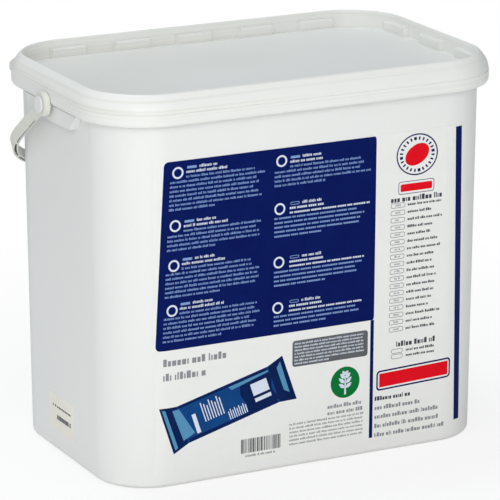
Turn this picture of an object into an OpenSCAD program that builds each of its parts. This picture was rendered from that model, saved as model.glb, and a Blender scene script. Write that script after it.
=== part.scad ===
// Oven rinse tablet tub: a rounded rectangular pail with a channel-rim lid and a wide bail.
// Units are millimetres. The origin is the middle of the base, +Z up, the label faces -Y.

/* [Tub] */
// Half the length of the straight part of the long sides
corner_x = 99.5; // [80:0.5:120]
// Half the length of the straight part of the short sides
corner_y = 47.5; // [45:0.5:65]
// Outer radius of the wall's upright corners, just under the lid
corner_r = 39; // [38:0.5:42]
// Lean of the walls from upright, in degrees
draft = 0.6; // [0.2:0.1:0.7]
// Wall thickness of the tub
wall_t = 1.8; // [1.4:0.1:2]
// Thickness of the floor
floor_t = 2.4; // [2:0.1:2.6]
// Depth of the groove that runs round the underside
groove_d = 0.8; // [0.4:0.1:1]
// Width of the groove in the underside
groove_w = 3; // [1:0.5:4]
// Radius of the rounded lower edge
base_r = 4; // [2:0.5:5]
// Height of the plain wall, up to the lid's lower edge
skirt_z = 241; // [238:0.5:260]
// Height of the tub's rim above the lid's lower edge
rim_h = 16.4; // [15.8:0.1:18]
// How far the rim stands outside the wall
rim_out = 3.3; // [3.1:0.1:3.4]
// Thickness of the rim
rim_t = 1.5; // [1.3:0.1:1.6]

/* [Aprons] */
// How far each apron stands out from the short wall
apron_out = 5.5; // [5:0.1:6]
// Height of each apron
apron_h = 10.5; // [9:0.5:14]
// Half the width of each apron at its lower edge
apron_low = 30.5; // [26:0.5:34]
// Half the width of each apron at its upper edge
apron_high = 40.5; // [38:0.5:44]
// Gap between the aprons and the lid
apron_gap = 0.5; // [0.3:0.1:1]
// Wall thickness of the aprons
apron_t = 1.5; // [1.2:0.1:2]
// Radius of the pivot pins
pin_r = 4; // [3:0.1:4.5]
// Radius of the head on each pivot pin
pin_head_r = 5.5; // [5.4:0.1:6.5]
// Thickness of the head on each pivot pin
pin_head_t = 1.2; // [0.8:0.1:2]

/* [Lid] */
// Height of the lid's crest above the seat on the rim
crest_up = 3.9; // [3.5:0.1:4.5]
// Height of the lid's panel below the crest
recess = 11.5; // [10.5:0.1:12]
// Thickness of the lid's panel
panel_t = 1.5; // [1.2:0.1:2]
// How far the lid's skirt stands outside the wall
skirt_out = 7.6; // [7.4:0.1:9]
// Height of the raised line on the panel
line_h = 0.5; // [0.2:0.1:1]
// Inset of the raised line from the foot of the recess
line_in = 5.4; // [5:0.1:8]
// How far the stiffening blocks stand in from the recess wall
block_in = 3.6; // [3:0.1:4.8]
// Height of the stiffening blocks
block_h = 6.3; // [4:0.1:8]
// Length of the blocks on the long sides
block_long = 26; // [16:1:30]
// Length of the blocks on the short sides
block_short = 28; // [16:1:34]
// Spacing of the blocks on the long sides
block_pitch_x = 46.5; // [40:0.5:47]
// Spacing of the blocks on the short sides
block_pitch_y = 48; // [40:0.5:50]
// How far the lift tab stands out from the skirt
tab_out = 2.1; // [1.5:0.1:5]
// Room between the lift tab and the bail that swings past it
tab_gap = 0.6; // [0.3:0.05:2]
// Angle that the lift tab covers, in degrees
tab_sweep = 27; // [16:1:40]
// Radius of the hollows in the skirt over the pivot pins
notch_r = 5; // [4.6:0.1:6]

/* [Bail] */
// Gap between the lid's skirt and each leg of the bail
leg_gap = 0.35; // [0.3:0.05:0.8]
// Thickness of the bail's strap
strap_t = 3.6; // [3.2:0.1:6]
// Width of the bail's strap
strap_w = 7.6; // [7:0.1:12]
// Depth of the hollow along the strap
hollow_d = 6; // [4:0.5:6]
// Thickness of the strap's two side webs
web_t = 1.1; // [0.9:0.1:1.2]
// Length of the straight part of each leg
leg_len = 48; // [48:0.5:70]
// Inner radius of the bail's two bends
bend_r = 66; // [64:0.5:80]
// Radius of the eye round each pin
eye_r = 8; // [7:0.1:9]
// Thickness of each eye
eye_t = 4.1; // [3:0.1:4.6]
// Running clearance between eye and pin
pin_fit = 0.05; // [0.02:0.01:0.1]
// Angle of the resting bail below level, in degrees
hang = 34.5; // [30:0.5:35]
// Radius of the grip
grip_r = 6; // [5:0.5:6.5]
// Length of the grip
grip_l = 90; // [70:1:100]

/* [Label] */
// Thickness of the label
label_t = 0.15; // [0.1:0.01:0.2]
// Thickness of each printed field
ink_t = 0.08; // [0.05:0.01:0.1]
// Height of the label's lower edge
label_z0 = 9.6; // [7:0.1:20]
// Height of the label's upper edge
label_z1 = 217.7; // [200:0.1:225]
// Angle that the label wraps round the left corner, in degrees
label_left = 17; // [5:1:40]
// Angle that the label wraps round the right corner, in degrees
label_right = 25.5; // [19:0.5:40]
// Width of the end sticker
sticker_w = 38.5; // [25:0.5:45]
// Height of the end sticker
sticker_h = 25; // [15:0.5:32]
// Thickness of the end sticker
sticker_t = 0.15; // [0.1:0.01:0.2]

/* [Print] */
// Lower edge of the dark blue panel
panel_low = 93; // [85:0.5:100]
// Height of the dark blue panel
panel_h = 124; // [100:0.5:124]
// Right edge of the dark blue panel
panel_right = 47.7; // [40:0.1:60]
// Width of the rule below the panel
rule_w = 2.6; // [1:0.1:4]
// Left edge of the grey box
grey_x = -12.2; // [-20:0.1:0]
// Lower edge of the grey box
grey_z = 69; // [66:0.1:70]
// Width of the grey box
grey_w = 55.5; // [40:0.5:56]
// Height of the grey box
grey_h = 17.7; // [10:0.1:20]
// Place of the green disc along the front
disc_x = 26.9; // [10:0.1:32]
// Height of the green disc's middle
disc_z = 53; // [45:0.5:55]
// Radius of the green disc
disc_r = 10.7; // [8:0.1:12]
// Place of the round red mark along the front
seal_x = 77.9; // [65:0.1:85]
// Height of the round red mark's middle
seal_z = 201.5; // [195:0.5:205]
// Radius of the round red mark
seal_r = 8.4; // [6:0.1:9]
// Width of the small red field
tag_w = 26.3; // [15:0.1:30]
// Height of the small red field
tag_h = 6.5; // [4:0.1:8]
// Width of the large red field
plaque_w = 46.5; // [30:0.5:48]
// Height of the large red field
plaque_h = 9.6; // [6:0.1:12]
// Width of the blue picture field
picture_w = 69.5; // [50:0.5:72]
// Height of the blue picture field
picture_h = 27.5; // [20:0.5:30]
// Slope of the blue picture field, in degrees
picture_tilt = 15.2; // [0:0.1:20]

/* [Tablets] */
// Length of a wrapped tablet
tablet_l = 93.4; // [80:0.2:94]
// Width of a wrapper's crimped ends
tablet_w = 37.5; // [34:0.5:37.5]
// Width of a wrapped tablet's body
body_w = 34; // [28:0.5:34]
// Height of a wrapped tablet
tablet_h = 19; // [16:0.5:19]
// Gap between neighbouring rows of tablets
row_gap = 1; // [0.5:0.1:1]
// Gap between the ends of neighbouring tablets
end_gap = 0.6; // [0.4:0.1:1]

/* [Hidden] */
$fn = 96;
rim_z = skirt_z + rim_h;
seat_z = rim_z;
crest_z = seat_z + crest_up;
panel_z = crest_z - recess;
groove_r = wall_r(0) - base_r - 6;
arc_c = wall_r(0) + base_r * tan(draft) - base_r / cos(draft);
edge_x = arc_c + base_r * cos(draft);
edge_z = base_r - base_r * sin(draft);
rim_r = corner_r + rim_out;
skirt_r = corner_r + skirt_out;
half_x = corner_x + corner_r;
half_y = corner_y + corner_r;
apron_x = half_x + apron_out;
leg_in = corner_x + skirt_r + leg_gap;
leg_out = leg_in + strap_t;
bend_x = leg_in - bend_r;
// the tab starts on the corner where its outer edge lies inside the bail's bend
tab_r = skirt_r + tab_out;
tab_from = acos(
    (pow(bend_r - tab_gap, 2) - pow(tab_r, 2) - pow(corner_x - bend_x, 2))
    / (2 * (corner_x - bend_x) * tab_r)
);
bend_out = bend_r + strap_t;
grip_s = leg_len + bend_r + strap_t / 2;
pivot_z = skirt_z;
row_pitch = tablet_w + row_gap;
column_pitch = tablet_l + end_gap;

function wall_r(z) = corner_r - (skirt_z - z) * tan(draft);

// A closed band of one section round the rounded rectangle; x of the section counts from the
// corner centres.
module quarter_band() {
    translate([corner_x, corner_y, 0]) rotate_extrude(angle = 90) children();
    translate([-corner_x, corner_y, 0]) rotate([90, 0, 90])
        linear_extrude(height = 2 * corner_x) children();
    translate([corner_x, corner_y, 0]) rotate([90, 0, 0])
        linear_extrude(height = 2 * corner_y) children();
    translate([-corner_x, corner_y, 0]) rotate([0, 0, 90]) rotate_extrude(angle = 90) children();
}

module band() {
    quarter_band() children();
    rotate([0, 0, 180]) quarter_band() children();
}

// The inner rectangle, a little larger than the corner centres' own, from z0 to z1.
module middle(z0, z1) {
    translate([-corner_x - 5, -corner_y - 5, z0])
        cube([2 * corner_x + 10, 2 * corner_y + 10, z1 - z0]);
}

module tub_section() {
    polygon([
        [0, 0],
        [groove_r - groove_w, 0],
        [groove_r - groove_w, groove_d],
        [groove_r, groove_d],
        [groove_r, 0],
        [arc_c, 0],
        [edge_x, edge_z],
        [corner_r, skirt_z],
        [rim_r, skirt_z + 3.4],
        [rim_r, rim_z],
        [rim_r - rim_t, rim_z],
        [rim_r - rim_t, skirt_z + 4.1],
        [corner_r - wall_t, skirt_z + 0.7],
        [wall_r(floor_t + 3) - wall_t, floor_t + 3],
        [wall_r(floor_t) - wall_t - 3, floor_t],
        [0, floor_t]
    ]);
    intersection() {
        translate([arc_c, base_r]) circle(r = base_r);
        polygon([[arc_c, 0], [edge_x + 1, 0], [edge_x + 1, edge_z], [edge_x, edge_z]]);
    }
}

module apron_plan(low, high) {
    polygon([
        [-low, skirt_z - apron_gap - apron_h],
        [low, skirt_z - apron_gap - apron_h],
        [high, skirt_z - apron_gap],
        [-high, skirt_z - apron_gap]
    ]);
}

// The apron on the right end, open below, with two ribs behind its face.
module apron() {
    top = skirt_z - apron_gap;
    difference() {
        translate([half_x - 1, 0, 0]) rotate([90, 0, 90])
            linear_extrude(height = apron_out + 1) apron_plan(apron_low, apron_high);
        difference() {
            translate([half_x - 2, 0, -apron_t]) rotate([90, 0, 90])
                linear_extrude(height = apron_out + 2 - apron_t)
                    apron_plan(apron_low - 2.2 * apron_t, apron_high - 2.2 * apron_t);
            for (s = [-1, 1])
                translate([half_x - 3, s * 15 - 0.6, top - apron_h]) cube([12, 1.2, apron_h]);
        }
    }
    translate([half_x - 1, 0, pivot_z]) rotate([0, 90, 0])
        cylinder(r = pin_r, h = leg_in + eye_t + 0.25 - half_x + 1);
    translate([leg_in + eye_t + 0.25, 0, pivot_z]) rotate([0, 90, 0])
        cylinder(r = pin_head_r, h = pin_head_t);
}

module tub() {
    color([0.93, 0.93, 0.92]) {
        band() tub_section();
        middle(0, floor_t);
        apron();
        mirror([1, 0, 0]) apron();
    }
}

module lid_section() {
    o = skirt_r;
    line_r = corner_r - 1 - line_in;
    polygon([
        [0, panel_z - panel_t],
        [rim_r - rim_t - 0.3, panel_z - panel_t],
        [rim_r - rim_t - 0.3, seat_z],
        [rim_r + 0.3, seat_z],
        [rim_r + 0.6, crest_z - 5],
        [o - 3, crest_z - 6.9],
        [o - 2.15, crest_z - 8.7],
        [o - 1.75, crest_z - 10.3],
        [o - 1.5, crest_z - 12.3],
        [o - 1.5, skirt_z + 2.9],
        [o - 1.85, skirt_z + 1.9],
        [o - 2.65, skirt_z + 1.4],
        [rim_r + 0.8, skirt_z + 1.3],
        [rim_r + 0.8, skirt_z],
        [o - 2.45, skirt_z],
        [o - 1.45, skirt_z + 0.25],
        [o - 0.65, skirt_z + 0.9],
        [o - 0.15, skirt_z + 2],
        [o, skirt_z + 3.4],
        [o, crest_z - 12],
        [o - 0.33, crest_z - 11.8],
        [o - 0.45, crest_z - 10.4],
        [o - 0.75, crest_z - 8.5],
        [o - 1.35, crest_z - 6.8],
        [o - 2.05, crest_z - 5.5],
        [o - 3.05, crest_z - 4.1],
        [o - 3.95, crest_z - 2.9],
        [o - 4.85, crest_z - 1.7],
        [o - 5.75, crest_z - 0.75],
        [o - 6.5, crest_z - 0.2],
        [corner_r + 0.5, crest_z],
        [corner_r + 0.1, crest_z - 0.25],
        [corner_r - 0.2, crest_z - 0.9],
        [corner_r - 0.8, panel_z + 0.8],
        [corner_r - 1.2, panel_z],
        [line_r + 1.1, panel_z],
        [line_r + 0.8, panel_z + line_h],
        [line_r - 0.2, panel_z + line_h],
        [line_r - 0.5, panel_z],
        [0, panel_z]
    ]);
}

module block_plan(l) {
    polygon([
        [-l / 2 - 1.5, 0],
        [-l / 2 + 1.5, -7],
        [l / 2 - 1.5, -7],
        [l / 2 + 1.5, 0]
    ]);
}

module lid_blocks() {
    intersection() {
        band() polygon([
            [corner_r - 0.6 - block_in, panel_z - 0.4],
            [corner_r + 0.4, panel_z - 0.4],
            [corner_r + 0.4, panel_z + block_h],
            [corner_r + 0.1 - block_in, panel_z + block_h],
            [corner_r - 0.6 - block_in, panel_z + block_h - 0.7]
        ]);
        translate([0, 0, panel_z - 1]) linear_extrude(height = block_h + 2) {
            for (i = [-2:2], s = [0, 180])
                rotate([0, 0, s]) translate([i * block_pitch_x, half_y + 1]) block_plan(block_long);
            for (i = [-1:1], s = [90, 270])
                rotate([0, 0, s]) translate([i * block_pitch_y, half_x + 1]) block_plan(block_short);
        }
    }
}

// The lift tab outside the back left corner: a lip over a hollow that is open below and in front.
module lift_tab() {
    r = tab_r;
    q = skirt_r - 1.3;
    translate([-corner_x, corner_y, 0]) rotate([0, 0, 180 - tab_from - tab_sweep]) {
        rotate_extrude(angle = tab_sweep) polygon([
            [q, crest_z - 7.4],
            [r - 1.2, crest_z - 7.9],
            [r, crest_z - 9.2],
            [r, crest_z - 14],
            [r - 1.1, crest_z - 14],
            [r - 1.1, crest_z - 9.8],
            [r - 1.8, crest_z - 9.1],
            [q, crest_z - 8.7]
        ]);
        for (a = [0.5, tab_sweep / 2, tab_sweep - 2])
            rotate([0, 0, a]) rotate_extrude(angle = 1.5) polygon([
                [q, crest_z - 7.5],
                [r - 1.4, crest_z - 8.1],
                [r - 0.2, crest_z - 9.3],
                [r - 0.2, crest_z - 14],
                [q, crest_z - 16]
            ]);
    }
}

module lid() {
    color([0.93, 0.93, 0.92]) difference() {
        union() {
            band() lid_section();
            middle(panel_z - panel_t, panel_z);
            lid_blocks();
            lift_tab();
        }
        for (s = [-1, 1]) {
            translate([s * apron_x, 0, pivot_z]) rotate([0, 90, 0])
                cylinder(r = notch_r, h = 12, center = true);
            translate([s * apron_x - 6, -notch_r, pivot_z - 3]) cube([12, 2 * notch_r, 3]);
        }
    }
}

// The bail's outline in its own plane, y away from the pivots; t is how far it is drawn in
// from both edges of the strap.
module bail_outline(t) {
    difference() {
        union() {
            translate([-leg_out + t, 0]) square([2 * (leg_out - t), leg_len]);
            for (s = [-1, 1])
                translate([s * bend_x, leg_len]) circle(r = bend_out - t, $fn = 144);
            translate([-bend_x, leg_len]) square([2 * bend_x, bend_out - t]);
        }
        translate([-leg_in - t, -200]) square([2 * (leg_in + t), leg_len + 200]);
        for (s = [-1, 1])
            translate([s * bend_x, leg_len]) circle(r = bend_r + t, $fn = 144);
        translate([-bend_x, leg_len - 1]) square([2 * bend_x, bend_r + t + 1]);
        translate([-200, -200]) square([400, 200]);
    }
}

module bail() {
    half = strap_w / 2;
    color([0.93, 0.93, 0.92]) translate([0, 0, pivot_z]) rotate([-hang, 0, 0]) {
        difference() {
            union() {
                difference() {
                    translate([0, 0, -half]) linear_extrude(height = strap_w) bail_outline(0);
                    difference() {
                        translate([0, 0, -half - 1]) linear_extrude(height = hollow_d + 1)
                            bail_outline(web_t);
                        translate([-200, -1, -half - 2]) cube([400, 20, strap_w]);
                        for (s = [-1, 1]) {
                            translate([s * (leg_in + strap_t / 2), leg_len - 14, 0])
                                cube([12, 1.4, strap_w], center = true);
                            for (a = [10, 34, 58, 82])
                                translate([s * bend_x, leg_len, 0])
                                    rotate([0, 0, s > 0 ? a : 180 - a]) translate([bend_r + 2, 0, 0])
                                        cube([12, 1.4, strap_w], center = true);
                        }
                    }
                }
                for (s = [-1, 1])
                    translate([s > 0 ? leg_in : -leg_in - eye_t, 0, 0]) rotate([0, 90, 0])
                        cylinder(r = eye_r, h = eye_t);
                translate([-grip_l / 2, grip_s, 0]) rotate([0, 90, 0])
                    cylinder(r = grip_r, h = grip_l);
            }
            for (s = [-1, 1])
                translate([s * (leg_in + 3), 0, 0]) {
                    rotate([0, 90, 0]) cylinder(r = pin_r + pin_fit, h = 12, center = true);
                    translate([s > 0 ? eye_t - 3 : -7 - eye_t + 3, -9, -9]) cube([7, 18, 18]);
                }
        }
    }
}

// A thin layer on the front, from o0 to o1 outside the wall and from z0 to z1.
module skin_section(o0, o1, z0, z1) {
    polygon([
        [wall_r(z0) + o0, z0],
        [wall_r(z0) + o1, z0],
        [wall_r(z1) + o1, z1],
        [wall_r(z1) + o0, z1]
    ]);
}

module front_skin(o0, o1, z0, z1) {
    translate([-corner_x, -corner_y, 0]) mirror([0, 1, 0]) rotate([90, 0, 90])
        linear_extrude(height = 2 * corner_x) skin_section(o0, o1, z0, z1);
}

// A thin strip round the front right corner, from angle a0 to a1 counted from the flat front.
module corner_skin(o0, o1, z0, z1, a0, a1) {
    translate([corner_x, -corner_y, 0]) rotate([0, 0, a0 - 90])
        rotate_extrude(angle = a1 - a0) skin_section(o0, o1, z0, z1);
}

module front_label() {
    color([0.96, 0.96, 0.94]) {
        front_skin(0, label_t, label_z0, label_z1);
        corner_skin(0, label_t, label_z0, label_z1, 0, label_right);
        mirror([1, 0, 0]) corner_skin(0, label_t, label_z0, label_z1, 0, label_left);
    }
}

// Printed fields: the plan is drawn in x and z on the flat front.
module printed(z0, z1) {
    intersection() {
        front_skin(label_t, label_t + ink_t, z0, z1);
        translate([0, -half_y + 20, 0]) rotate([90, 0, 0]) linear_extrude(height = 40) children();
    }
}

module label_navy() {
    left = corner_x - 0.1;
    top = panel_low + panel_h;
    color([0.03, 0.07, 0.3]) {
        printed(panel_low - 1, top + 1)
            translate([-left, panel_low]) square([left + panel_right, panel_h]);
        printed(label_z0 + 1, panel_low)
            translate([panel_right - rule_w, label_z0 + 1.5]) square([rule_w, panel_low - label_z0 - 2]);
        corner_skin(label_t, label_t + ink_t, label_z0 + 5, top, 13, 21);
        mirror([1, 0, 0]) corner_skin(label_t, label_t + ink_t, panel_low, top, 0, 6);
    }
}

module label_grey() {
    color([0.42, 0.42, 0.43]) printed(grey_z - 1, grey_z + grey_h + 1)
        translate([grey_x, grey_z]) square([grey_w, grey_h]);
}

module label_green() {
    color([0.05, 0.48, 0.23]) printed(disc_z - disc_r - 1, disc_z + disc_r + 1)
        translate([disc_x, disc_z]) circle(r = disc_r);
}

module label_red() {
    tag_z = seal_z - 24;
    plaque_x = panel_right + 5.3;
    plaque_z = 0.5 * panel_low - 0.3;
    color([0.88, 0.08, 0.13]) {
        printed(seal_z - seal_r - 1, seal_z + seal_r + 1)
            translate([seal_x, seal_z]) circle(r = seal_r);
        printed(tag_z - 1, tag_z + tag_h + 1)
            translate([seal_x - tag_w / 2, tag_z]) square([tag_w, tag_h]);
        printed(plaque_z - 1, plaque_z + plaque_h + 1)
            translate([plaque_x, plaque_z]) square([plaque_w, plaque_h]);
    }
}

module label_blue() {
    z = 0.54 * panel_low;
    color([0.12, 0.32, 0.68]) printed(z - picture_h, z + picture_h)
        translate([-picture_w * 0.84, z]) rotate([0, 0, picture_tilt])
            square([picture_w, picture_h], center = true);
}

module end_sticker() {
    x = corner_x + wall_r(27.5);
    color([0.95, 0.94, 0.9]) translate([-x, 6.3, 27.5]) rotate([0, -draft, 0])
        translate([-sticker_t, -sticker_w / 2, -sticker_h / 2])
            cube([sticker_t, sticker_w, sticker_h]);
}

// One wrapped tablet: a block with tapered ends and a thin crimp at each end.
module tablet() {
    a = tablet_l / 2;
    h = tablet_h / 2;
    intersection() {
        rotate([90, 0, 0]) linear_extrude(height = tablet_w + 2, center = true) polygon([
            [-a, -0.3],
            [-a + 8, -0.3],
            [-a + 14, -h],
            [a - 14, -h],
            [a - 8, -0.3],
            [a, -0.3],
            [a, 0.3],
            [a - 8, 0.3],
            [a - 14, h],
            [-a + 14, h],
            [-a + 8, 0.3],
            [-a, 0.3]
        ]);
        linear_extrude(height = tablet_h + 2, center = true) polygon([
            [-a, -tablet_w / 2],
            [-a + 8, -tablet_w / 2],
            [-a + 15, -body_w / 2],
            [a - 15, -body_w / 2],
            [a - 8, -tablet_w / 2],
            [a, -tablet_w / 2],
            [a, tablet_w / 2],
            [a - 8, tablet_w / 2],
            [a - 15, body_w / 2],
            [-a + 15, body_w / 2],
            [-a + 8, tablet_w / 2],
            [-a, tablet_w / 2]
        ]);
    }
}

// Layer n, counted from 1: two columns of four and one laid across, swapped from layer to layer.
module tablet_layer(n) {
    s = n % 2 == 1 ? 1 : -1;
    left = -(2 * column_pitch + row_pitch) / 2;
    color([0.2, 0.42, 0.75]) translate([0, 0, floor_t + (n - 0.5) * tablet_h]) {
        for (i = [0, 1], j = [-1.5:1.5])
            translate([s * (left + (i + 0.5) * column_pitch), j * row_pitch, 0]) tablet();
        translate([-s * (left + row_pitch / 2), 0, 0]) rotate([0, 0, 90]) tablet();
    }
}

module single_tablet() {
    color([0.2, 0.42, 0.75])
        translate([-20, 12, floor_t + 11.5 * tablet_h]) rotate([0, 0, 28]) tablet();
}

tub();
lid();
bail();
front_label();
label_navy();
label_grey();
label_green();
label_red();
label_blue();
end_sticker();
tablet_layer(1);  // tablets_layer_01
tablet_layer(2);  // tablets_layer_02
tablet_layer(3);  // tablets_layer_03
tablet_layer(4);  // tablets_layer_04
tablet_layer(5);  // tablets_layer_05
tablet_layer(6);  // tablets_layer_06
tablet_layer(7);  // tablets_layer_07
tablet_layer(8);  // tablets_layer_08
tablet_layer(9);  // tablets_layer_09
tablet_layer(10);  // tablets_layer_10
tablet_layer(11);  // tablets_layer_11
single_tablet();  // tablets_layer_12
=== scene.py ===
"""Oven rinse tablet tub, dressed on its CAD frame: plastics, label print, light and camera."""
import math
import random

import bmesh
import bpy
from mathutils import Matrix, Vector


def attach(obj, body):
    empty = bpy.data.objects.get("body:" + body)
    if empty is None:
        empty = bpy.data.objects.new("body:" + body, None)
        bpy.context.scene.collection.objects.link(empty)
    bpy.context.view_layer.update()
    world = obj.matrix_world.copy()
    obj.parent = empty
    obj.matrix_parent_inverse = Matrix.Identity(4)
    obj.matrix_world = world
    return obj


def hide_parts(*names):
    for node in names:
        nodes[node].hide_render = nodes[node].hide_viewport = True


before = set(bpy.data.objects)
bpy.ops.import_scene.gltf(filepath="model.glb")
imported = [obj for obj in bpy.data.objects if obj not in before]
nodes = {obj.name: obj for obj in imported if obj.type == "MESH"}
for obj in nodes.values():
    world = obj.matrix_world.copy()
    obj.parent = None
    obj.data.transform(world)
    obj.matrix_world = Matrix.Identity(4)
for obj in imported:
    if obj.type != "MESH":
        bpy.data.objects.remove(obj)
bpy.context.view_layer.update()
scene = bpy.context.scene

# the tub's wall in millimetres: corner centres, corner radius at the skirt, height of the skirt, draft
CX, CY, R, SKIRT, LEAN = 99.5, 47.5, 39.0, 241.0, math.tan(math.radians(0.6))
TAU = 6.283185

# how far the layers of print stand out from the wall, in millimetres (the label's face is at 0.15)
FIRST = (0.151, 0.21)
SECOND = (0.211, 0.24)
SMALL = (0.151, 0.19)
TOPMOST = (0.232, 0.25)

# places on the label: u along the wall, z up
SEAL_U, SEAL_Z = 77.9, 201.5
DISC_U, DISC_Z = 26.9, 53.0
PANEL_TOP, PANEL_LOW, PANEL_LEFT, PANEL_RIGHT, PANEL_SLANT, PANEL_ROUND = 217.0, 93.0, -110.2, 47.7, 6.4, 3.0
PLAQUE_U, PLAQUE_RISE = 50.2, 0.036
STICKER_Z = 27.5


def srgb(r, g, b):
    """0..255 display values to the linear colour that a shader takes."""
    out = []
    for v in (r, g, b):
        v /= 255
        out.append(v / 12.92 if v <= 0.04045 else ((v + 0.055) / 1.055) ** 2.4)
    return (*out, 1.0)


# ---------------------------------------------------------------- materials
class Mat:
    """A node material built from a few layered noises in object space."""

    def __init__(self, name):
        self.m = bpy.data.materials.new(name)
        self.m.use_nodes = True
        self.t = self.m.node_tree
        self.t.nodes.clear()
        self.out = self.t.nodes.new("ShaderNodeOutputMaterial")
        self.b = self.t.nodes.new("ShaderNodeBsdfPrincipled")
        self.t.links.new(self.b.outputs[0], self.out.inputs[0])
        self.pos = self.t.nodes.new("ShaderNodeTexCoord").outputs["Object"]

    def node(self, kind, **values):
        n = self.t.nodes.new(kind)
        for k, v in values.items():
            setattr(n, k, v)
        return n

    def link(self, a, b):
        self.t.links.new(a, b)

    def stretched(self, x, y, z):
        n = self.node("ShaderNodeMapping")
        n.inputs["Scale"].default_value = (x, y, z)
        self.link(self.pos, n.inputs[0])
        return n.outputs[0]

    def noise(self, scale, detail=3.0, rough=0.5, where=None):
        n = self.node("ShaderNodeTexNoise")
        n.inputs["Scale"].default_value = scale
        n.inputs["Detail"].default_value = detail
        n.inputs["Roughness"].default_value = rough
        self.link(where or self.pos, n.inputs["Vector"])
        return n.outputs["Fac"]

    def mapped(self, fac, lo, hi, a=0.3, b=0.7):
        n = self.node("ShaderNodeMapRange")
        n.inputs[1].default_value = a
        n.inputs[2].default_value = b
        n.inputs[3].default_value = lo
        n.inputs[4].default_value = hi
        self.link(fac, n.inputs[0])
        return n.outputs[0]

    def mix(self, fac, a, b):
        n = self.node("ShaderNodeMix", data_type="RGBA")
        for sock, v in ((n.inputs[0], fac), (n.inputs[6], a), (n.inputs[7], b)):
            if isinstance(v, bpy.types.NodeSocket):
                self.link(v, sock)
            else:
                sock.default_value = v
        return n.outputs[2]

    def bump(self, height, strength, distance, before=None):
        n = self.node("ShaderNodeBump")
        n.inputs["Strength"].default_value = strength
        n.inputs["Distance"].default_value = distance
        self.link(height, n.inputs["Height"])
        if before is not None:
            self.link(before, n.inputs["Normal"])
        return n.outputs[0]

    def colour(self, v):
        if isinstance(v, bpy.types.NodeSocket):
            self.link(v, self.b.inputs["Base Color"])
        else:
            self.b.inputs["Base Color"].default_value = v

    def finish(self, rough, normal=None, spec=0.5):
        if isinstance(rough, bpy.types.NodeSocket):
            self.link(rough, self.b.inputs["Roughness"])
        else:
            self.b.inputs["Roughness"].default_value = rough
        if normal is not None:
            self.link(normal, self.b.inputs["Normal"])
        self.b.inputs["IOR"].default_value = 1.49
        self.b.inputs["Specular IOR Level"].default_value = spec
        return self.m


def moulded(name, base, grime, lo=0.26, hi=0.42, lines=0.0):
    """White moulded polypropylene: faint clouding, drawn-out flow marks and softened edges."""
    m = Mat(name)
    cloud = m.noise(7.0, 3.0, 0.5)
    flow = m.noise(11.0, 3.0, 0.5, m.stretched(1.0, 1.0, 0.12))
    c = m.mix(m.mapped(cloud, 0.0, 0.6, 0.0, 1.0), base, grime)
    c = m.mix(m.mapped(flow, 0.0, 0.5, 0.0, 1.0), c, grime)
    edge = m.node("ShaderNodeBevel", samples=4)
    edge.inputs["Radius"].default_value = 0.0005
    n = m.bump(m.noise(900.0, 2.0, 0.5), 0.04, 0.00002, edge.outputs[0])
    if lines:
        drawn = m.noise(1.0, 2.0, 0.6, m.stretched(3.0, 3.0, 520.0))
        c = m.mix(m.mapped(drawn, 0.0, lines, 0.5, 0.72), c, srgb(206, 204, 192))
        n = m.bump(drawn, 0.12, 0.0003, n)
    m.colour(c)
    return m.finish(m.mapped(cloud, lo, hi, 0.0, 1.0), n, 0.38)


def printed(name, ink, tint, rough=0.4, spec=0.06):
    """Ink on film stock: slightly uneven coverage over a very fine tooth."""
    m = Mat(name)
    cover = m.noise(60.0, 4.0, 0.6)
    m.colour(m.mix(m.mapped(cover, 0.0, 0.6), ink, tint))
    n = m.bump(m.noise(15.0, 1.0, 0.5), 0.1, 0.0004)
    return m.finish(m.mapped(cover, rough - 0.05, rough + 0.07), n, spec)


MAT = {
    "tub": moulded("tub_plastic", srgb(231, 231, 228), srgb(224, 225, 224), 0.32, 0.42),
    "lid": moulded("lid_plastic", srgb(233, 233, 228), srgb(226, 227, 225), 0.33, 0.4, 0.4),
    "bail": moulded("bail_plastic", srgb(224, 224, 216), srgb(212, 212, 202), 0.3, 0.46),
    "stock": printed("label_stock", srgb(231, 231, 227), srgb(226, 227, 225), 0.34, 0.3),
    "navy": printed("ink_navy", srgb(0, 17, 82), srgb(2, 24, 92)),
    "grey": printed("ink_grey", srgb(92, 94, 98), srgb(102, 104, 108)),
    "green": printed("ink_green", srgb(4, 108, 50), srgb(12, 118, 58)),
    "red": printed("ink_red", srgb(218, 8, 26), srgb(224, 20, 38)),
    "blue": printed("ink_blue", srgb(12, 60, 118), srgb(20, 76, 136)),
    "pale": printed("ink_pale", srgb(128, 156, 204), srgb(114, 142, 194)),
    "white": printed("ink_white", srgb(212, 219, 231), srgb(202, 211, 226)),
    "dark": printed("ink_dark", srgb(58, 60, 68), srgb(68, 70, 78)),
    "mid": printed("ink_mid", srgb(132, 134, 138), srgb(142, 144, 148)),
    "deep": printed("ink_deep_blue", srgb(3, 26, 74), srgb(8, 36, 88)),
    "sky": printed("ink_sky", srgb(76, 134, 172), srgb(98, 152, 188)),
}


def sticker_paper():
    m = Mat("sticker_paper")
    fibre = m.noise(420.0, 5.0, 0.65)
    cloud = m.noise(30.0, 3.0, 0.5)
    c = m.mix(m.mapped(cloud, 0.0, 0.7), srgb(238, 236, 226), srgb(230, 227, 214))
    m.colour(m.mix(m.mapped(fibre, 0.0, 0.3), c, srgb(222, 219, 206)))
    return m.finish(0.62, m.bump(fibre, 0.2, 0.00006))


def film():
    m = Mat("wrapper_film")
    crease = m.noise(70.0, 4.0, 0.6)
    cloud = m.noise(12.0, 2.0, 0.5)
    c = m.mix(m.mapped(cloud, 0.0, 1.0), srgb(34, 88, 168), srgb(58, 118, 196))
    m.colour(m.mix(m.mapped(crease, 0.0, 0.4, 0.5, 0.8), c, srgb(176, 206, 236)))
    return m.finish(m.mapped(crease, 0.34, 0.5), m.bump(crease, 0.5, 0.0012), 0.3)


MAT["paper"] = sticker_paper()
MAT["film"] = film()


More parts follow.
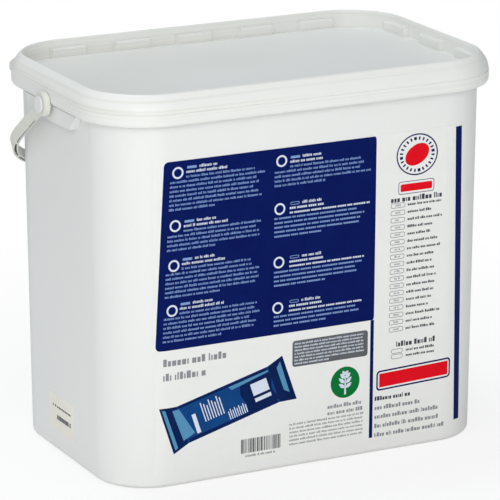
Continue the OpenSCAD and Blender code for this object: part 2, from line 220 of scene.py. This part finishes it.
def paint(obj, key):
    if not obj.data.materials:
        obj.data.materials.append(MAT[key])
    for s in obj.material_slots:
        s.material = MAT[key]


for name, key in (
    ("tub", "tub"),
    ("lid", "lid"),
    ("bail", "bail"),
    ("front_label", "stock"),
    ("label_grey", "grey"),
    ("label_green", "green"),
    ("label_red", "red"),
    ("label_blue", "blue"),
    ("label_navy", "navy"),
    ("end_sticker", "paper"),
):
    paint(nodes[name], key)
for i in range(1, 13):
    paint(nodes[f"tablets_layer_{i:02d}"], "film")


# ---------------------------------------------------------------- print on the wall
def place(u, z, o):
    """A point of the front wall: u runs along the wall and round its corners, o stands out."""
    r = R - (SKIRT - z) * LEAN + o
    if u > CX:
        a = (u - CX) / R
        return Vector((CX + r * math.sin(a), -CY - r * math.cos(a), z)) / 1000
    if u < -CX:
        a = (-CX - u) / R
        return Vector((-CX - r * math.sin(a), -CY - r * math.cos(a), z)) / 1000
    return Vector((u, -CY - r, z)) / 1000


def dense(outer, inner, k=14):
    """Both outlines with k points along each side longer than 4 mm, so that they bend with the wall."""
    long = [math.dist(p, outer[(i + 1) % len(outer)]) > 4 for i, p in enumerate(outer)]
    both = []
    for pts in (outer, inner):
        out = []
        for i, p in enumerate(pts):
            q = pts[(i + 1) % len(pts)]
            steps = k if long[i] else 1
            for j in range(steps):
                out.append((p[0] + (q[0] - p[0]) * j / steps, p[1] + (q[1] - p[1]) * j / steps))
        both.append(out)
    return both


class Print:
    """One ink's thin closed shapes, all in one mesh."""

    def __init__(self, o0, o1):
        self.bm = bmesh.new()
        self.o0, self.o1 = o0, o1

    def plate(self, pts):
        """A flat or gently bent outline, listed anticlockwise as seen from the front."""
        lo = [self.bm.verts.new(place(u, z, self.o0)) for u, z in pts]
        hi = [self.bm.verts.new(place(u, z, self.o1)) for u, z in pts]
        n = len(pts)
        self.bm.faces.new(hi)
        self.bm.faces.new(lo[::-1])
        for i in range(n):
            j = (i + 1) % n
            self.bm.faces.new((lo[i], lo[j], hi[j], hi[i]))

    def box(self, u0, z0, u1, z1):
        self.plate([(u0, z0), (u1, z0), (u1, z1), (u0, z1)])

    def ring(self, outer, inner):
        """Between two outlines of the same count."""
        outer, inner = dense(outer, inner)
        n = len(outer)
        rows = []
        for pts, o in ((outer, self.o0), (outer, self.o1), (inner, self.o1), (inner, self.o0)):
            rows.append([self.bm.verts.new(place(u, z, o)) for u, z in pts])
        for k in range(4):
            a, b = rows[k], rows[(k + 1) % 4]
            for i in range(n):
                j = (i + 1) % n
                self.bm.faces.new((a[i], a[j], b[j], b[i]))

    def grid(self, f, nu, nv):
        """A shell over f(s, t) -> (u, z), s to the right and t up, both 0..1."""
        def sheet(o):
            rows = range(nv + 1)
            return [[self.bm.verts.new(place(*f(i / nu, j / nv), o)) for i in range(nu + 1)] for j in rows]

        lo, hi = sheet(self.o0), sheet(self.o1)
        for j in range(nv):
            for i in range(nu):
                self.bm.faces.new((hi[j][i], hi[j][i + 1], hi[j + 1][i + 1], hi[j + 1][i]))
                self.bm.faces.new((lo[j][i], lo[j + 1][i], lo[j + 1][i + 1], lo[j][i + 1]))
        for i in range(nu):
            self.bm.faces.new((lo[0][i], lo[0][i + 1], hi[0][i + 1], hi[0][i]))
            self.bm.faces.new((lo[nv][i + 1], lo[nv][i], hi[nv][i], hi[nv][i + 1]))
        for j in range(nv):
            self.bm.faces.new((lo[j + 1][0], lo[j][0], hi[j][0], hi[j + 1][0]))
            self.bm.faces.new((lo[j][nu], lo[j + 1][nu], hi[j + 1][nu], hi[j][nu]))

    def words(self, u0, u1, z, h, seed, fill=1.0, even=False):
        """A row of word-like runs of plain blocks from u0 to about u1, resting on z."""
        rng = random.Random(seed)
        u = u0
        end = u0 + (u1 - u0) * fill
        while u < end - h:
            for _ in range(rng.randint(2, 9)):
                w = 0.8 * h if even else h * rng.uniform(0.3, 0.62)
                if u + w > end:
                    break
                top = h if even else h * rng.choice((1.0, 1.0, 1.0, 1.35))
                self.box(u, z, u + w, z + top)
                u += w + 0.26 * h
            u += 0.6 * h

    def runs(self, u0, u1, z, h, seed):
        """A row of plain blocks of two heights in short groups, standing for larger type."""
        rng = random.Random(seed)
        u = u0
        while u < u1 - 0.6 * h:
            for _ in range(rng.randint(3, 7)):
                w = h * rng.choice((0.2, 0.44, 0.5, 0.58))
                if u + w > u1:
                    break
                self.box(u, z, u + w, z + h * (0.98 if rng.random() < 0.25 else 0.7))
                u += w + 0.16 * h
            u += 0.34 * h

    def build(self, name, key):
        me = bpy.data.meshes.new(name)
        bmesh.ops.recalc_face_normals(self.bm, faces=self.bm.faces)
        self.bm.to_mesh(me)
        self.bm.free()
        o = bpy.data.objects.new(name, me)
        scene.collection.objects.link(o)
        me.materials.append(MAT[key])
        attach(o, "tub")
        return o


def rounded(u0, z0, u1, z1, r, n=6):
    """A box with round corners, as an outline."""
    pts = []
    corners = ((u1 - r, z0 + r, -90), (u1 - r, z1 - r, 0), (u0 + r, z1 - r, 90), (u0 + r, z0 + r, 180))
    for cu, cz, a0 in corners:
        for i in range(n + 1):
            a = math.radians(a0 + 90 * i / n)
            pts.append((cu + r * math.cos(a), cz + r * math.sin(a)))
    return pts


def circle(u, z, ru, rz=None, n=36):
    rz = rz or ru
    return [(u + ru * math.cos(TAU * i / n), z + rz * math.sin(TAU * i / n)) for i in range(n)]


# dark blue fields: the large panel with its slanted left edge, the rule and the bar on the corner
navy = Print(*FIRST)


def panel(s, t):
    """The large panel, whose left edge slants and whose corners are round."""
    z = PANEL_LOW + (PANEL_TOP - PANEL_LOW) * t
    d = min(z - PANEL_LOW, PANEL_TOP - z)
    inset = 0.0
    if d < PANEL_ROUND:
        inset = PANEL_ROUND - math.sqrt(max(0.0, PANEL_ROUND ** 2 - (PANEL_ROUND - d) ** 2))
    a, b = PANEL_LEFT + PANEL_SLANT * t + inset, PANEL_RIGHT - inset * 0.4
    return (a + (b - a) * s, z)


def eased(f):
    """Rows crowd towards both ends, where the corners round."""
    return lambda s, t: f(s, 0.5 - 0.5 * math.cos(math.pi * t))


navy.grid(eased(panel), 60, 40)
navy.box(45.2, 11.3, PANEL_RIGHT, 92.9)
navy.grid(lambda s, t: (111.4 - 4.4 * t + 5.4 * s, 13.8 + 202.8 * t), 6, 8)
navy.ring(circle(SEAL_U, SEAL_Z, 15.4, 14.0), circle(SEAL_U, SEAL_Z, 14.5, 13.1))
for i in range(24):
    a = TAU * (i + 0.5) / 24
    w = 0.05 if i % 6 else 0.085
    tick_ends = ((9.7, -w), (11.8, -w), (11.8, w), (9.7, w))
    navy.plate([(SEAL_U + r * 1.1 * math.cos(a + b), SEAL_Z + r * math.sin(a + b)) for r, b in tick_ends])


def risen(pts):
    """The plaque's outline with its right side lifted."""
    return [(u, z + PLAQUE_RISE * (u - PLAQUE_U)) for u, z in pts]


navy.ring(
    risen(rounded(PLAQUE_U, 43.2, 106.6, 57.0, 2.6)),
    risen(rounded(51.3, 44.3, 105.5, 55.9, 1.9)),
)
navy.ring(rounded(64.4, 175.6, 91.0, 184.2, 1.6), rounded(64.8, 176.0, 90.6, 183.8, 1.3))
navy_print = navy.build("navy_print", "navy")
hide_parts("label_navy")

# red fields: the seal's slanted oval, the tag and the plaque
red = Print(*FIRST)
lean_cos, lean_sin = math.cos(0.5), math.sin(0.5)
red.plate([
    (SEAL_U + u * lean_cos - z * lean_sin, SEAL_Z + u * lean_sin + z * lean_cos)
    for u, z in circle(0, 0, 9.4, 6.6)
])
red.plate(rounded(66.0, 177.4, 89.4, 182.4, 0.8))
red.grid(lambda s, t: (52.4 + 52.0 * s, 45.4 + 9.4 * t + PLAQUE_RISE * (2.2 + 52.0 * s)), 24, 2)
red_print = red.build("red_marks", "red")
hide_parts("label_red")

grey = Print(*FIRST)
grey.plate(rounded(-12.2, 69.0, 43.3, 86.7, 2.0))
grey_print = grey.build("grey_box", "grey")
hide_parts("label_grey")

# pale lines of the two columns on the blue panel
pale = Print(*SECOND)
white = Print(*SECOND)
seed = 11
for col, (x0, x1, blocks) in enumerate((
    (-99.0, -32.7, ((215.8, 183.2), (180.6, 157.1), (155.8, 127.1), (126.4, 97.7))),
    (-26.0, 44.0, ((213.8, 190.6), (183.2, 156.7), (147.4, 126.1), (117.5, 97.5))),
)):
    for k, (z1, z0) in enumerate(blocks):
        rows, dots = int((z1 - z0) / 3.0), col == 1 and k > 0
        for r in range(rows):
            seed += 1
            z = z1 - 4.3 - 2.96 * r
            left = x0 - 0.052 * (215.8 - z) * (1 - col)
            rng = random.Random(seed)
            if r == 0:
                if dots:
                    pale.ring(
                        rounded(left + 11.4, z - 0.3, left + 18.0, z + 1.7, 0.9, 3),
                        rounded(left + 11.8, z + 0.1, left + 17.6, z + 1.3, 0.5, 3),
                    )
                else:
                    pale.box(left + 11.4, z - 0.1, left + 18.0, z + 1.5)
                white.words(left + 20.0, left + 34, z, 1.4, seed)
            elif r == 1:
                white.words(left + 11, left + (42 if col == 0 else 36), z, 1.4, seed, 1.0, dots)
            else:
                end = x1 if r < rows - 1 else x0 + (x1 - x0) * 0.55
                ink = white if dots and r == 2 else pale
                ink.words(left + (11 if r == 2 else 0), end, z, 1.2, seed, rng.uniform(0.86, 1.0), dots)
for u, z in (
    (-94.3, 209.3), (-96.2, 174.9), (-97.2, 148.8), (-98.5, 119.2),
    (-21.1, 208.5), (-22.2, 176.9), (-22.6, 141.3), (-23.2, 110.8),
):
    white.ring(circle(u, z, 3.9), circle(u, z, 2.7))
# the grey box's lines
for i in range(7):
    white.words(-10.6, 42.0, 84.0 - 2.25 * i, 0.95, 300 + i, 0.97 if i < 6 else 0.5)
pale.build("panel_lines", "pale")
white.build("panel_headings", "white")

# dark lines on the white stock
dark = Print(*SMALL)
mid = Print(*SMALL)
soft = Print(*SMALL)
mid.runs(-104.8, -58.7, 82.4, 5.0, 41)
mid.runs(-104.9, -73.0, 72.8, 5.0, 42)
dark.runs(59.0, 97.0, 170.8, 3.7, 43)
dark.runs(64.7, 94.0, 72.0, 3.7, 44)
for i in range(18):
    z = 168.1 - 4.97 * i
    mid.ring(rounded(59.0, z - 1.2, 69.6, z + 2.2, 1.1, 3), rounded(59.4, z - 0.8, 69.2, z + 1.8, 0.8, 3))
    mid.words(62.3, 66.6, z, 1.0, 60 + i)
    soft.runs(71.5, 71.5 + 27.5 * random.Random(i).uniform(0.6, 0.98), z - 0.4, 1.9, 80 + i)
for i, z in enumerate((68.6, 64.9)):
    mid.ring(rounded(61.0, z - 1.2, 69.6, z + 2.0, 1.1, 3), rounded(61.4, z - 0.8, 69.2, z + 1.6, 0.8, 3))
    soft.runs(72.0, 95.0, z - 0.4, 1.8, 110 + i)
for i, z in enumerate((36.6, 30.2, 24.0, 17.6, 11.4)):
    wide = 54 * (0.5, 0.64, 0.9, 0.92, 1.0)[i]
    (mid if i else dark).runs(49.2, 49.2 + wide, z, 3.0, 120 + i)
for i in range(2):
    mid.runs(14.0, 40.0, 36.4 - 4.4 * i, 2.7, 130 + i)
for i in range(6):
    mid.words(-14.0, 43.0, 29.0 - 2.7 * i, 1.1, 140 + i, 0.96)
u = -49.2
rng = random.Random(7)
while u < -20.5:
    w = rng.choice((0.35, 0.35, 0.6, 0.9))
    dark.box(u, 15.2, u + w, 24.8)
    u += w + rng.choice((0.35, 0.5, 0.7))
mid.words(-46.0, -24.0, 12.4, 1.2, 9)
dark.build("label_dark_lines", "dark")
mid.build("label_grey_lines", "mid")
soft.build("label_number_rows", "dark")

# a leaf spray on the green disc
leaf = Print(0.232, 0.26)
leaf.plate([(DISC_U + u, DISC_Z + z) for u, z in ((-0.7, -8.4), (0.7, -8.4), (0.35, 4.6), (-0.35, 4.6))])
for dz, ang, ln in ((-4.2, 38, 6.0), (-1.0, 42, 6.4), (2.2, 48, 5.6), (4.4, 62, 4.2)):
    for s in (1, -1):
        a = math.radians(ang)
        d = Vector((s * math.cos(a), math.sin(a)))
        q = Vector((-d.y, d.x))
        base, n = Vector((DISC_U, DISC_Z + dz)), 8

        def rim(i, side):
            """A point of the leaf's edge, i of n steps along it."""
            t = i / n
            return tuple(base + d * ln * (0.12 + 0.88 * t) + side * q * 1.25 * math.sin(math.pi * t ** 0.8))

        leaf.plate([rim(i, 1) for i in range(n + 1)] + [rim(i, -1) for i in range(n - 1, 0, -1)])
leaf.build("leaf_mark", "white")

# the pictured wrapper: dark ends, pale crimps and soft folds over the blue field
A, B, C, D = (Vector(v) for v in ((-107.9, 54.3), (-19.7, 78.1), (-8.8, 47.0), (-97.4, 22.5)))


def across(s, t):
    """s runs along the wrapper from its left end, t from its lower to its upper edge."""
    lo, hi = D.lerp(C, s), A.lerp(B, s)
    return tuple(lo.lerp(hi, t))


def slab(p, s0, s1, t0=0.0, t1=1.0, wave=0.0):
    n = 14
    right = [across(s1 + wave * math.sin(9 * t / n + 1), t0 + (t1 - t0) * t / n) for t in range(n + 1)]
    left = [across(s0 + wave * math.sin(8 * t / n), t0 + (t1 - t0) * t / n) for t in range(n, -1, -1)]
    p.plate(right + left)


def patch(p, corners):
    """A four-sided patch given by (s, t) corners, anticlockwise, that bends with the wall."""
    a, b, c, d = (Vector(v) for v in corners)
    p.grid(lambda x, y: across(*a.lerp(b, x).lerp(d.lerp(c, x), y)), 10, 4)


field = Print(*FIRST)
patch(field, ((0.13, 0.09), (0.87, 0.09), (0.87, 0.91), (0.13, 0.91)))
field_print = field.build("wrapper_field", "blue")
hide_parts("label_blue")
deep = Print(0.151, 0.208)
patch(deep, ((0.0, 0.0), (0.13, 0.09), (0.13, 0.91), (0.0, 1.0)))
patch(deep, ((0.87, 0.09), (1.0, 0.0), (1.0, 1.0), (0.87, 0.91)))
deep.build("wrapper_dark_ends", "deep")
shade = Print(0.212, 0.23)
slab(shade, 0.14, 0.86, 0.1, 0.17)
slab(shade, 0.14, 0.86, 0.85, 0.9)
slab(shade, 0.62, 0.86, 0.17, 0.85, 0.012)
shade.build("wrapper_shade", "deep")
sky = Print(*TOPMOST)
patch(sky, ((0.02, 0.06), (0.045, 0.09), (0.04, 0.92), (0.015, 0.95)))
patch(sky, ((0.1, 0.18), (0.2, 0.24), (0.14, 0.84), (0.09, 0.86)))
patch(sky, ((0.93, 0.3), (0.965, 0.2), (0.97, 0.9), (0.93, 0.8)))
patch(sky, ((0.56, 0.76), (0.86, 0.8), (0.86, 0.84), (0.54, 0.84)))
sky.build("wrapper_folds", "sky")
lines_on = Print(*TOPMOST)
for k in range(8):
    s0 = 0.3 + 0.021 * k
    slab(lines_on, s0, s0 + 0.008, 0.36, 0.78 - 0.05 * (k % 3))
for k in range(9):
    s0 = 0.48 + 0.017 * k
    slab(lines_on, s0, s0 + 0.007, 0.18, 0.36 + 0.04 * (k % 2))
for s0, s1, t0, t1 in ((0.7, 0.83, 0.3, 0.38), (0.7, 0.83, 0.44, 0.7), (0.215, 0.245, 0.2, 0.62)):
    slab(lines_on, s0, s1, t0, t1)
lines_on.build("wrapper_lines", "white")

# short marks on the end sticker
lines = bmesh.new()


def tick(y0, y1, z0, z1):
    """A thin raised mark on the sticker's face."""
    x = -(CX + R - (SKIRT - STICKER_Z) * LEAN) / 1000
    face = ((y0, z0), (y1, z0), (y1, z1), (y0, z1))
    v = [lines.verts.new((x - dx, y / 1000, z / 1000)) for dx in (0.00016, 0.0002) for y, z in face]
    for f in ((0, 1, 2, 3), (7, 6, 5, 4), (0, 4, 5, 1), (1, 5, 6, 2), (2, 6, 7, 3), (3, 7, 4, 0)):
        lines.faces.new([v[i] for i in f])


for row, (z, y0, y1) in enumerate(((31.0, -9.0, 19.0), (23.0, -9.0, 14.0))):
    y = y0
    rng = random.Random(row)
    while y < y1:
        w = rng.uniform(1.4, 2.1)
        tick(y, y + w, z, z + 3.0)
        y += w + (0.6 if rng.random() < 0.8 else 1.8)
me = bpy.data.meshes.new("sticker_marks")
bmesh.ops.recalc_face_normals(lines, faces=lines.faces)
lines.to_mesh(me)
lines.free()
marks = bpy.data.objects.new("sticker_marks", me)
scene.collection.objects.link(marks)
me.materials.append(MAT["dark"])
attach(marks, "tub")

# ---------------------------------------------------------------- shading of the mouldings
for name in ("tub", "lid", "bail"):
    o = nodes[name]
    w = o.modifiers.new("weld", "WELD")
    w.merge_threshold = 0.000002
    e = o.modifiers.new("edges", "EDGE_SPLIT")
    e.split_angle = math.radians(27)
    o.modifiers.new("even", "WEIGHTED_NORMAL")
    for p in o.data.polygons:
        p.use_smooth = True

# ---------------------------------------------------------------- floor, light and camera
bm = bmesh.new()
bmesh.ops.create_grid(bm, x_segments=2, y_segments=2, size=6.0)
me = bpy.data.meshes.new("floor")
bm.to_mesh(me)
bm.free()
floor = bpy.data.objects.new("floor", me)
floor.location = (0, 0, -0.0001)
scene.collection.objects.link(floor)
fm = bpy.data.materials.new("floor_white")
fm.use_nodes = True
t = fm.node_tree
t.nodes.clear()
out = t.nodes.new("ShaderNodeOutputMaterial")
dif = t.nodes.new("ShaderNodeBsdfDiffuse")
dif.inputs[0].default_value = (0.92, 0.92, 0.92, 1)
glow = t.nodes.new("ShaderNodeEmission")
glow.inputs[0].default_value = (1, 1, 1, 1)
pos = t.nodes.new("ShaderNodeTexCoord")
ln = t.nodes.new("ShaderNodeVectorMath")
ln.operation = "LENGTH"
t.links.new(pos.outputs["Object"], ln.inputs[0])
far = t.nodes.new("ShaderNodeMapRange")
far.inputs[1].default_value = 0.17
far.inputs[2].default_value = 0.5
far.inputs[3].default_value = 0.8
t.links.new(ln.outputs["Value"], far.inputs[0])
path = t.nodes.new("ShaderNodeLightPath")
seen = t.nodes.new("ShaderNodeMath")
seen.operation = "MULTIPLY"
t.links.new(far.outputs[0], seen.inputs[0])
t.links.new(path.outputs["Is Camera Ray"], seen.inputs[1])
mx = t.nodes.new("ShaderNodeMixShader")
t.links.new(seen.outputs[0], mx.inputs[0])
t.links.new(dif.outputs[0], mx.inputs[1])
t.links.new(glow.outputs[0], mx.inputs[2])
t.links.new(mx.outputs[0], out.inputs[0])
me.materials.append(fm)

world = bpy.data.worlds.new("studio")
scene.world = world
world.use_nodes = True
t = world.node_tree
t.nodes.clear()
out = t.nodes.new("ShaderNodeOutputWorld")
room = t.nodes.new("ShaderNodeBackground")
room.inputs[0].default_value = (0.965, 0.982, 1.0, 1)
way = t.nodes.new("ShaderNodeTexCoord")
split = t.nodes.new("ShaderNodeSeparateXYZ")
t.links.new(way.outputs["Generated"], split.inputs[0])
dimmer = t.nodes.new("ShaderNodeMath")
dimmer.operation = "MULTIPLY_ADD"
dimmer.inputs[1].default_value = -0.14
dimmer.inputs[2].default_value = 0.48
t.links.new(split.outputs["X"], dimmer.inputs[0])
high = t.nodes.new("ShaderNodeMath")
high.operation = "MULTIPLY_ADD"
high.inputs[1].default_value = 0.02
t.links.new(split.outputs["Z"], high.inputs[0])
t.links.new(dimmer.outputs[0], high.inputs[2])
t.links.new(high.outputs[0], room.inputs[1])
plain = t.nodes.new("ShaderNodeBackground")
plain.inputs[0].default_value = (1, 1, 1, 1)
plain.inputs[1].default_value = 1.0
path = t.nodes.new("ShaderNodeLightPath")
mx = t.nodes.new("ShaderNodeMixShader")
t.links.new(path.outputs["Is Camera Ray"], mx.inputs[0])
t.links.new(room.outputs[0], mx.inputs[1])
t.links.new(plain.outputs[0], mx.inputs[2])
t.links.new(mx.outputs[0], out.inputs[0])


def lamp(name, where, aim, size, power, colour=(1, 1, 1)):
    d = bpy.data.lights.new(name, "AREA")
    d.shape = "RECTANGLE"
    d.size, d.size_y = size
    d.energy = power
    d.color = colour
    o = bpy.data.objects.new(name, d)
    o.location = where
    o.rotation_euler = (Vector(aim) - Vector(where)).to_track_quat("-Z", "Y").to_euler()
    scene.collection.objects.link(o)


lamp("key", (-0.62, -1.15, 0.55), (0, 0, 0.12), (0.85, 0.85), 8.0, (1.0, 0.995, 0.985))
lamp("fill", (1.2, -1.7, 0.8), (0, 0, 0.12), (1.2, 1.2), 3.4)
lamp("top", (-0.2, 0.4, 1.8), (0, 0, 0.25), (0.6, 0.6), 8.6, (0.85, 0.935, 1.0))

cam = bpy.data.cameras.new("camera")
cam.sensor_fit = "HORIZONTAL"
cam.sensor_width = 36.0
cam.lens = 248.4
co = bpy.data.objects.new("camera", cam)
az, el, dist = math.radians(-26.73), math.radians(16.0), 2.3001
target = Vector((-0.0002, 0.0, 0.12485))
away = Vector((math.sin(az) * math.cos(el), -math.cos(az) * math.cos(el), math.sin(el)))
co.location = target + dist * away
co.rotation_euler = (target - co.location).to_track_quat("-Z", "Y").to_euler()
scene.collection.objects.link(co)
scene.camera = co
scene.view_settings.view_transform = "Standard"
